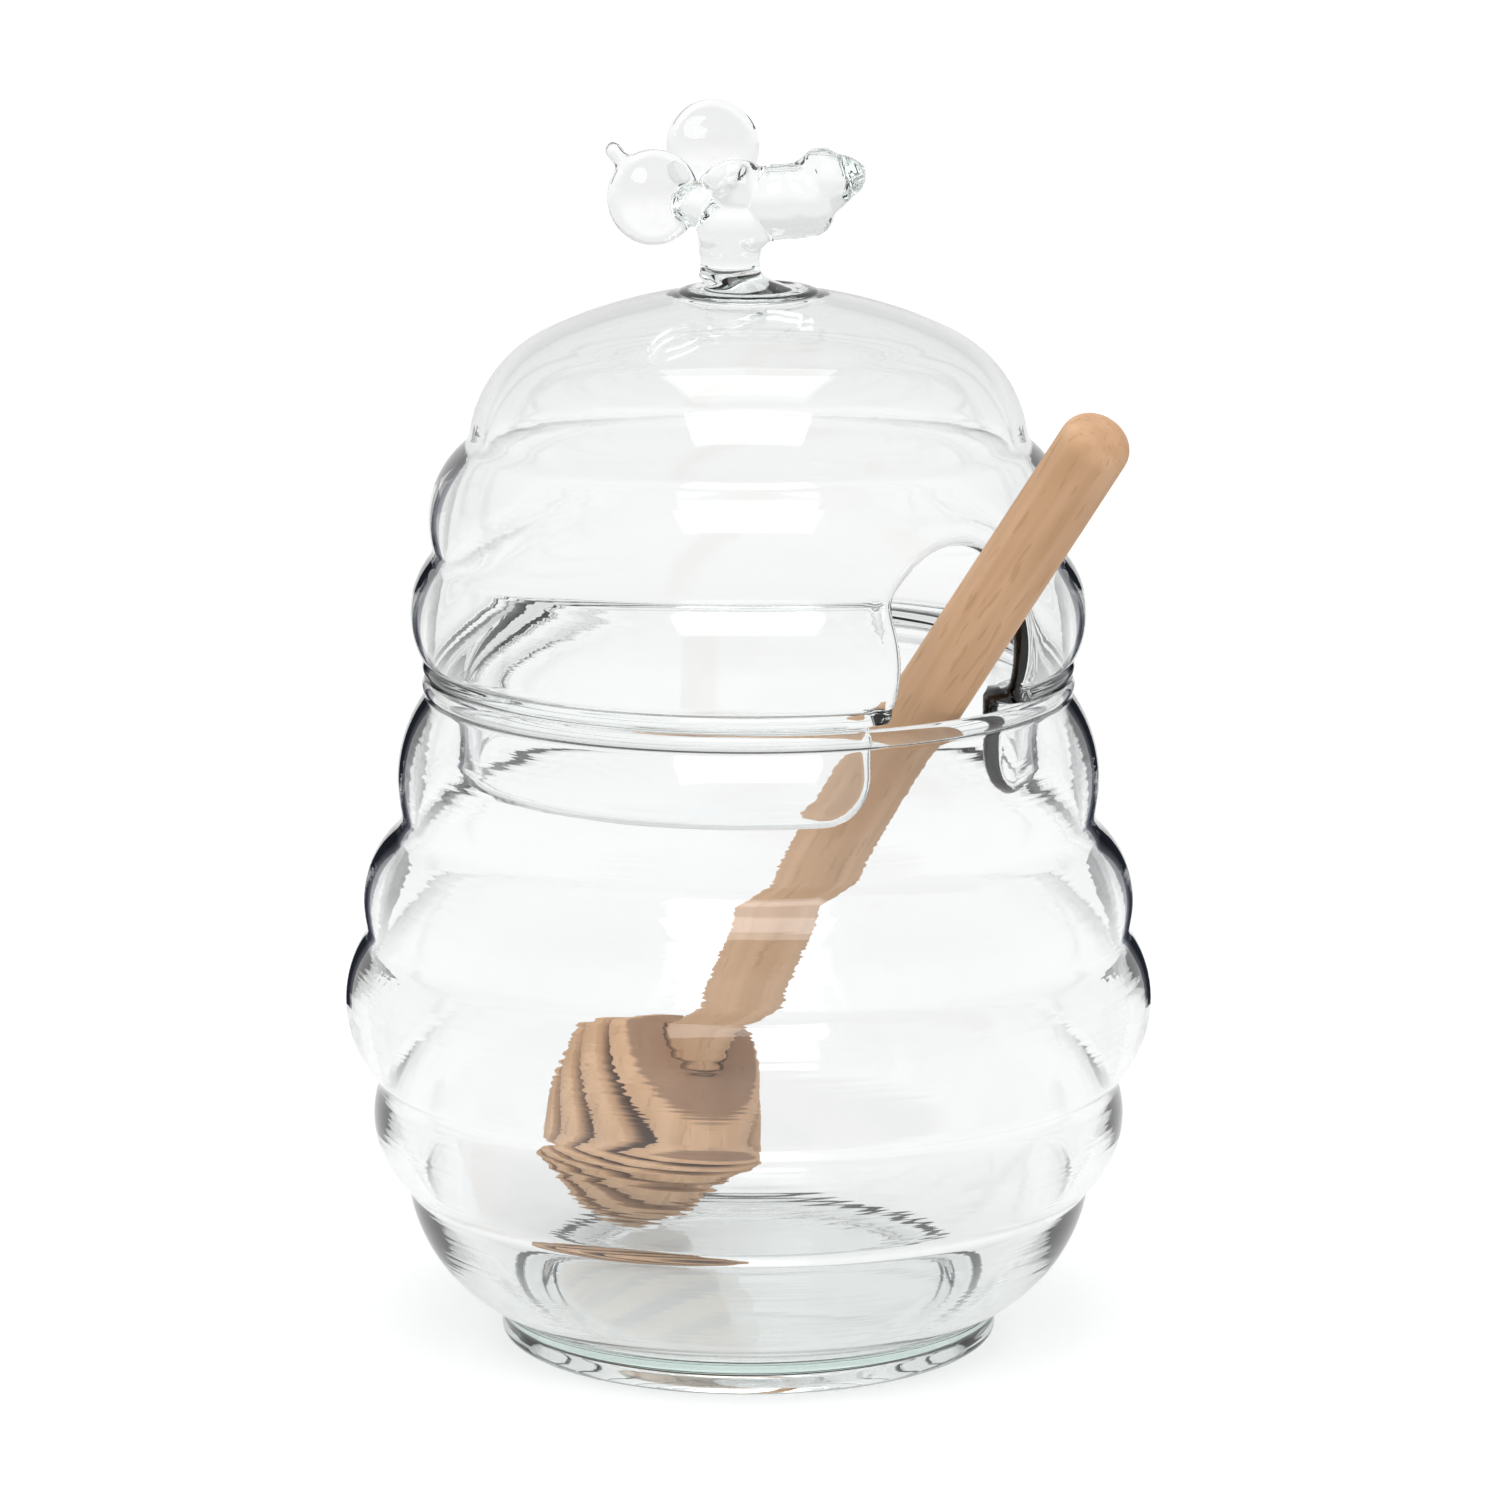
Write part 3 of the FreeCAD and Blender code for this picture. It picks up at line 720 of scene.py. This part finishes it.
# %% [markdown]
# ## The bee and its stem
#
# The bee was made at the lamp: gathers of soft glass pressed onto each other, two of them squeezed into
# round flat wings, one drawn out and twisted into an abdomen. Its maker left the tip where the rod was
# pulled away. Here each gather is a stretched ball. A voxel remesh makes them one skin, and smoothing
# melts the seams, as the flame does. The stem's waist is cut level so that the skin can be sewn to the
# lid's wall.

# %% The gathers of the bee
BEE_VOXEL = 0.28  # in millimetres
BODY = [  # centre, half size along its own axes, and the way its Z points
    ((-1.6, 0.0, 154.2), (4.2, 4.2, 5.0), (1, 0, 0.05)),
    ((-6.5, -1.5, 152.5), (3.0, 3.0, 3.6), (1, 0.2, 0)),
]
ABDOMEN = [
    ((3.5, 0.0, 152.6), 5.0),
    ((6.5, 0.0, 152.9), 5.2),
    ((9.5, 0.0, 155.2), 4.5),
    ((12.2, 0.0, 156.2), 3.0),
]
WINGS = [((-12.4, -4.2, 153.9), (0.35, -0.93, 0.1)), ((-4.7, 4.0, 159.5), (0.3, -0.9, 0.2))]
WING_RADIUS, WING_HALF_THICK = 6.3, 2.0
BLOCK = ((-1.9, 0.0, 149.5), (4.9, 4.4, 3.1))
PULLED_TIP = (-17.6, -5.4, 160.2), (-15.3, -4.9, 157.4)
TIP_BEAD = 1.15
RIDGE, RIDGE_PITCH = 0.28, 6.5  # height of the twisted ridges, and the length of one turn
RIDGE_START = 3.0  # the ridges reach their full height after this length
MELT_ROUNDS = 22


def gather(work, centre, size, axis=(0, 0, 1), press=None):
    """Add a ball of glass of a size along its own axes, with Z along an axis, perhaps pressed."""
    turn = Vector(axis).to_track_quat("Z", "Y").to_matrix().to_4x4()
    place = Matrix.Translation(Vector(centre)) @ turn @ Matrix.Diagonal((*size, 1))
    for v in bmesh.ops.create_uvsphere(work, u_segments=40, v_segments=24, radius=1)["verts"]:
        v.co = place @ (press(v.co) if press else v.co)


def wing_press(spot):
    """A ball squeezed into a disc with a thick rim."""
    reach = math.hypot(spot.x, spot.y)
    wider = reach ** 0.5 / max(reach, 1e-6)
    flat = math.copysign(abs(spot.z) ** 0.5, spot.z) * (0.3 + 0.7 * reach)
    return Vector((spot.x * wider, spot.y * wider, flat))


def block_press(spot):
    """A ball squeezed towards a block with round corners."""
    return Vector([math.copysign(abs(c) ** 0.6, c) for c in spot])


def bee_gathers():
    """All gathers of the bee, and the upper stem, in millimetres."""
    work = bmesh.new()
    for centre, size, axis in BODY:
        gather(work, centre, size, axis)
    for centre, radius in ABDOMEN:
        gather(work, centre, (radius,) * 3)
    for centre, axis in WINGS:
        gather(work, centre, (WING_RADIUS, WING_RADIUS, WING_HALF_THICK), axis, wing_press)
    gather(work, *BLOCK, press=block_press)
    tip, rim = [Vector(end) for end in PULLED_TIP]
    for i in range(5):
        gather(work, tip.lerp(rim, i / 4), (TIP_BEAD,) * 3)
    bmesh.ops.create_cone(work, cap_ends=True, segments=48, radius1=STEM_WAIST, radius2=STEM_WAIST + 0.5,
                          depth=8, matrix=Matrix.Translation((-STEM_SHIFT, 0, STEM_CUT + 1.5)))
    return work


def twist(mesh):
    """Draw the ridges of the twisted abdomen into the skin."""
    start, end = Vector(ABDOMEN[0][0]), Vector(ABDOMEN[-1][0])
    along = (end - start).normalized()
    side = along.cross(Vector((0, 1, 0))).normalized()
    for v in mesh.vertices:
        spot = v.co / MM - start
        far = spot.dot(along)
        angle = math.atan2(spot.y, spot.dot(side))
        fade = min(max(far / RIDGE_START, 0), 1)
        v.co += v.normal * (RIDGE * fade * math.sin(far * math.tau / RIDGE_PITCH + angle)) * MM
    return mesh


def melt(work, voxel, rounds):
    """Make overlapping closed shapes one skin and melt its seams."""
    mesh = bpy.data.meshes.new("gathers")
    bmesh.ops.scale(work, vec=(MM, MM, MM), verts=work.verts)
    work.to_mesh(mesh)
    work.free()
    thing = show("gathers", mesh)
    remesh = thing.modifiers.new("One skin", "REMESH")
    remesh.mode = "VOXEL"
    remesh.voxel_size = voxel * MM
    smooth = thing.modifiers.new("Melt", "SMOOTH")
    smooth.factor = 0.5
    smooth.iterations = rounds
    return finished_mesh(thing, "melted")


def sew(work, bee_mesh):
    """Sew the bee's skin, cut level at the stem's waist, to the open ring of the lid's wall."""
    ring = [e for e in work.edges if e.is_boundary]
    skin = bmesh.new()
    skin.from_mesh(bee_mesh)
    bmesh.ops.bisect_plane(skin, geom=skin.verts[:] + skin.edges[:] + skin.faces[:], dist=1e-7,
                           plane_co=(0, 0, (STEM_CUT + 0.8) * MM), plane_no=(0, 0, 1), clear_inner=True)
    skin.verts.ensure_lookup_table()
    pieces = bpy.data.meshes.new("skin")
    skin.to_mesh(pieces)
    skin.free()
    old = set(work.edges)
    work.from_mesh(pieces)
    cut = [e for e in work.edges if e not in old and e.is_boundary]
    print("sewing", len(cut), "edges to", len(ring))
    bmesh.ops.bridge_loops(work, edges=ring + cut)


lid_work = lid_wall()
sew(lid_work, twist(melt(bee_gathers(), BEE_VOXEL, MELT_ROUNDS)))
lid_mesh = bpy.data.meshes.new("blown_lid")
lid_work.to_mesh(lid_mesh)
lid_work.free()
lid_mesh.materials.append(lid_glass)
face_outwards(lid_mesh)
stand_in("blown_lid", lid_mesh, "lid")

# %% [markdown]
# ## The dipper
#
# The dipper is turned on a lathe from one beech blank, so the turning tree makes it as well. Six discs
# make its head, and their rims follow an egg shape. The grooves between them hold the honey.

# %% The dipper's outline
HANDLE_LENGTH, HANDLE_RADII, TIP_ROUND = 126.6, (4.5, 4.75, 4.6), 3.2
HEAD_LENGTH, HEAD_RADIUS, HEAD_EGG = 28.8, 14.1, 19.2
DISCS, GROOVE_SHARE, GROOVE_DEPTH, RIM_BULGE = 6, 0.4, 3.9, 0.45
SOCKET_GAP, SOCKET_DEPTH, FACE_RISE = 0.3, 0.8, 0.8
TILT = math.radians(40.3)
REST_GAP = 0.1
DIPPER_STEPS = 96
DIPPER_SOFTNESS = 0.16
DIPPER_LONGEST, DIPPER_SHARPEST = 2.5, 14  # longest step in mm and sharpest turn in degrees


def rim(height):
    """Radius of the egg shape that the discs' rims follow."""
    return HEAD_RADIUS * math.sqrt(1 - ((height - HEAD_LENGTH / 2) / HEAD_EGG) ** 2)


def disc_spans():
    """Lower and upper height of each disc, from the end of the head up."""
    pitch = HEAD_LENGTH / (DISCS - GROOVE_SHARE)
    return [(i * pitch, i * pitch + pitch * (1 - GROOVE_SHARE)) for i in range(DISCS)]


def dipper_section():
    """The outline of the dipper standing upright, from the end of its head to its tip."""
    spans = disc_spans()
    points = [(0, 0)]
    for i, (low, high) in enumerate(spans):
        middle = (low + high) / 2
        points += [(rim(low), low), ((rim(low) + rim(high)) / 2 + RIM_BULGE, middle), (rim(high), high)]
        if i + 1 < len(spans):
            following = spans[i + 1][0]
            floor = min(rim(high), rim(following)) - GROOVE_DEPTH
            points += [(floor, high), (floor, following)]
    face, tip = HEAD_LENGTH + FACE_RISE, HEAD_LENGTH + HANDLE_LENGTH
    foot, middle, end = HANDLE_RADII
    points += [(foot + SOCKET_GAP, face), (foot + SOCKET_GAP, face - SOCKET_DEPTH),
               (foot, face - SOCKET_DEPTH), (middle, (face + tip) / 2)]
    cap = sweep((end - TIP_ROUND, tip - TIP_ROUND), TIP_ROUND, 0, math.pi / 2)
    return np.vstack([points, cap, [(0, tip)]])


dipper_outline = spread(soften(dipper_section(), DIPPER_SOFTNESS), DIPPER_LONGEST, DIPPER_SHARPEST)
print("dipper outline:", len(dipper_outline), "points")

# %% Where the dipper leans
lowest = min(low * math.cos(TILT) - rim(low) * math.sin(TILT) for low, _ in disc_spans())
lift = FLOOR + FLOOR_RISE + REST_GAP - lowest
reach = LIP_RADIUS - (LIP_TUBE + HANDLE_RADII[1] + REST_GAP) / math.cos(TILT)
shift = reach - (LIP_TOP - LIP_TUBE - lift) * math.tan(TILT)
lean = (Matrix.Rotation(LEAN_TURN, 4, "Z") @ Matrix.Translation((0, -shift * MM, lift * MM))
        @ Matrix.Rotation(TILT, 4, "X"))
print("dipper's foot, mm:", [round(v / MM, 1) for v in lean.translation])

# %% [markdown]
# ## Turned beech
#
# Beech is pale and even. Its long fibres show as faint streaks along the handle, with short dark flecks
# where the rays of the tree are cut. On the discs' faces the same fibres end, and end grain drinks more
# light, so it is darker. The pattern is solid: it is measured in the dipper's own upright frame, so
# that streaks, flecks and end grain agree wherever the lathe cut.

# %% The beech material
BEECH_PALE, BEECH_MID = (0.77, 0.49, 0.30, 1), (0.66, 0.395, 0.222, 1)
BEECH_DARK, BEECH_END = (0.49, 0.27, 0.135, 1), (0.50, 0.28, 0.15, 1)
# the dark brown of the grooves: partly burnt end grain, partly painted shade where the discs hide each
# groove's floor
GROOVE_BURN_AND_SHADE = (0.13, 0.055, 0.028, 1)


def beech():
    """Pale wood with streaks, flecks and end grain, and a brown in the grooves that is partly burnt wood and
    partly painted shade.
    """
    material, start = new_material("Turned beech")
    place = start.node("ShaderNodeTexCoord", output="Object")
    upright = start.node("ShaderNodeMapping", {"vector_type": "TEXTURE"}, {
        "Vector": place, "Location": lean.translation, "Rotation": lean.to_euler()})
    across, back, along = upright.parts()

    def stretched(scale, squeeze, detail=3.0):
        drawn = start.node("ShaderNodeMapping", {}, {"Vector": upright, "Scale": (1, 1, squeeze)})
        return start.node("ShaderNodeTexNoise", {}, {"Vector": drawn, "Scale": scale, "Detail": detail})

    streaks = stretched(420, 0.035)
    fibres = stretched(1500, 0.03)
    cloud = stretched(70, 0.35, 2.0)
    flecks = stretched(1300, 0.12, 1.0).ramp(0.62, 0.70)
    colour = streaks.ramp(0.30, 0.68).blend(BEECH_PALE, BEECH_MID)
    colour = (cloud.ramp(0.45, 0.75) * 0.6).blend(colour, BEECH_DARK)
    colour = (flecks * 0.45).blend(colour, BEECH_DARK)

    facing = start.node("ShaderNodeNewGeometry", output="Normal")
    axis = lean.to_3x3() @ Vector((0, 0, 1))
    end = start.node("ShaderNodeVectorMath", {"operation": "DOT_PRODUCT"},
                     {0: facing, 1: axis}, output="Value")
    end = start.maths("ABSOLUTE", end).ramp(0.55, 0.98)
    colour = (end * 0.35).blend(colour, BEECH_END)

    radius = start.maths("SQRT", across * across + back * back) / MM
    height = along / MM
    egg = 1 - ((height - HEAD_LENGTH / 2) / HEAD_EGG) ** 2.0
    egg = start.maths("SQRT", start.maths("MAXIMUM", egg, 0.0)) * HEAD_RADIUS
    in_head = 1 - height.ramp(HEAD_LENGTH - 0.8, HEAD_LENGTH - 0.2)
    # painted shade and burn: the deeper a place lies in a groove, the browner the wood
    groove_burn_and_shade = (egg - radius).ramp(0.6, 2.6) * in_head
    colour = (groove_burn_and_shade * 0.85).blend(colour, GROOVE_BURN_AND_SHADE)
    # the same brown, partly burn and partly painted shade, darkens the recess where the handle sits in the
    # head
    socket = (1 - (height - HEAD_LENGTH - 0.4).ramp(0.3, 1.0)) * (1 - in_head)
    colour = (socket * 0.6).blend(colour, GROOVE_BURN_AND_SHADE)

    rough = 0.52 + fibres * 0.16 - end * 0.04
    bumps = fibres * 0.05 + streaks * 0.03 - flecks * 0.04
    bump = start.node("ShaderNodeBump", {}, {"Height": bumps, "Strength": 0.9, "Distance": MM})
    wood = start.node("ShaderNodeBsdfPrincipled", {}, {
        "Base Color": colour, "Roughness": rough, "Normal": bump, "Specular IOR Level": 0.35})
    start.node("ShaderNodeOutputMaterial", {}, {"Surface": wood})
    return material


# %% The dipper
dipper_mesh = turn_outline("turned_dipper", dipper_outline, DIPPER_STEPS, beech())
dipper_mesh.transform(lean)
stand_in("turned_dipper", dipper_mesh, "dipper")

# %% [markdown]
# ## The table and the studio
#
# Clear glass shows only what is round it: a white wall stays white through it, and something darker at
# the sides draws its edges. The table is pale and wide. The studio is a white world with a soft box high
# in front and another above. Two narrow dark cards stand behind the object, left and right, and only
# light that the glass bends or reflects can see them.

# %% The table
NEAR_AND_FAR = (0.12, 0.7)  # the soft boxes light the table's middle, so it glows less there
GLOW_NEAR = (0.66, 0.66, 0.67, 1)
GLOW_SEEN, GLOW_BENT = 0.54, 0.38  # its glow for the camera, and for rays bent or reflected by the glass


def table_material():
    """Pale and even: as white as the background where no shadow falls."""
    material, start = new_material("Pale table")
    rays = start.tree.nodes.new("ShaderNodeLightPath")
    seen = Wire(start.tree, rays.outputs["Is Camera Ray"])
    bent = start.maths("MAXIMUM", Wire(start.tree, rays.outputs["Is Transmission Ray"]),
                       Wire(start.tree, rays.outputs["Is Glossy Ray"]))
    paper = start.node("ShaderNodeBsdfDiffuse", {}, {"Color": (0.8, 0.8, 0.8, 1)})
    x, y, _ = start.node("ShaderNodeTexCoord", output="Object").parts()
    away = start.maths("SQRT", x * x + y * y).ramp(*NEAR_AND_FAR)
    glow = start.node("ShaderNodeEmission", {}, {
        "Color": away.blend(GLOW_NEAR, (1, 1, 1, 1)), "Strength": seen * GLOW_SEEN + bent * GLOW_BENT})
    both = start.node("ShaderNodeAddShader", {}, {0: paper, 1: glow})
    start.node("ShaderNodeOutputMaterial", {}, {"Surface": both})
    return material


def plane(name, corners, material):
    """A flat face in the scene with the corners and the material."""
    mesh = bpy.data.meshes.new(name)
    mesh.from_pydata(corners, [], [range(len(corners))])
    mesh.materials.append(material)
    return show(name, mesh)


TABLE_HALF = 4.0
table_corners = [(x * TABLE_HALF, y * TABLE_HALF, 0) for x, y in ((-1, -1), (1, -1), (1, 1), (-1, 1))]
table = plane("table", table_corners, table_material())

# %% The dark cards
CARD_BACK, CARD_LOW, CARD_HIGH = 0.11, 0.018, 0.115
CARD_IN, CARD_OUT = 0.072, 0.108  # how far to the side the card starts and ends
CARD_LEAN = 0.006  # its inner edge leans outwards by this much towards the top
CARD_DARK, CARD_GREY = (0.030, 0.034, 0.048, 1), (0.50, 0.51, 0.58, 1)


def card_material():
    """Dark and faintly blue at the inner edge, and greyer further out."""
    material, start = new_material("Dark card")
    aside = start.node("ShaderNodeTexCoord", output="Object").parts()[0]
    fade = start.maths("ABSOLUTE", aside).ramp(CARD_IN + 0.5 * (CARD_OUT - CARD_IN), CARD_OUT + 0.01)
    glow = start.node("ShaderNodeEmission", {}, {"Color": fade.blend(CARD_DARK, CARD_GREY), "Strength": 1.0})
    start.node("ShaderNodeOutputMaterial", {}, {"Surface": glow})
    return material


for name, side in (("card_left", -1), ("card_right", 1)):
    ends = [(side * x, CARD_BACK, z) for x, z in
            ((CARD_IN, CARD_LOW), (CARD_OUT, CARD_LOW),
             (CARD_OUT, CARD_HIGH), (CARD_IN + CARD_LEAN, CARD_HIGH))]
    dark_card = plane(name, ends, card_material())
    dark_card.visible_camera = dark_card.visible_diffuse = dark_card.visible_shadow = False

# %% The soft boxes
def soft_box(name, place, target, width, depth, watts):
    """A rectangular area lamp that looks at a target."""
    lamp = bpy.data.lights.new(name, "AREA")
    lamp.shape = "RECTANGLE"
    lamp.size, lamp.size_y, lamp.energy = width, depth, watts
    thing = bpy.data.objects.new(name, lamp)
    thing.location = place
    thing.rotation_euler = (Vector(target) - Vector(place)).to_track_quat("-Z", "Y").to_euler()
    bpy.context.scene.collection.objects.link(thing)
    return thing


OBJECT_MIDDLE = (0, 0, 0.08)
soft_box("soft_box_front", (0, -0.50, 0.72), OBJECT_MIDDLE, width=0.6, depth=0.4, watts=2.6)
soft_box("soft_box_top", (0, 0.1, 0.95), OBJECT_MIDDLE, width=0.5, depth=0.5, watts=1.4)

# %% The white world
BAND_START, BAND_END = (0.10, 0.24), (0.60, 0.80)  # how far up its light turns darker and bright again
STUDIO_WHITE, BAND_DEPTH = 0.88, 0.12  # what bent and reflected rays see of it
FILL_LIGHT = 0.62  # the light it throws on wood and table
world = bpy.data.worlds.new("White studio")
bpy.context.scene.world = world
world.use_nodes = True
world.node_tree.nodes.clear()
sky = Wire(world.node_tree)
rays = world.node_tree.nodes.new("ShaderNodeLightPath")
seen = Wire(world.node_tree, rays.outputs["Is Camera Ray"])
bent = sky.maths("MAXIMUM", Wire(world.node_tree, rays.outputs["Is Transmission Ray"]),
                 Wire(world.node_tree, rays.outputs["Is Glossy Ray"]))
direction = sky.node("ShaderNodeTexCoord", output="Generated")
rise = direction.parts()[2]
dark_band = rise.ramp(*BAND_START) * (1 - rise.ramp(*BAND_END))
studio = STUDIO_WHITE - dark_band * BAND_DEPTH
strength = seen + (1 - seen) * (bent * studio + (1 - bent) * FILL_LIGHT)
light = sky.node("ShaderNodeBackground", {}, {"Color": (1, 1, 1, 1), "Strength": strength})
sky.node("ShaderNodeOutputWorld", {}, {"Surface": light})

# %% [markdown]
# ## The camera
#
# A long lens from a metre away, a little above the jar: the lid's rim shows as a flat oval.

# %% The camera
camera = bpy.data.objects.new("camera", bpy.data.cameras.new("camera"))
camera.data.sensor_width = 36.0
camera.data.lens = 177.6
camera.data.clip_start = 0.05
camera.data.clip_end = 50.0
camera.location = (0.0002, -0.963, 0.276)
camera.rotation_euler = (math.radians(90 - 11.53), 0, 0)
bpy.context.scene.collection.objects.link(camera)
bpy.context.scene.camera = camera
bpy.context.scene.view_settings.view_transform = "Standard"
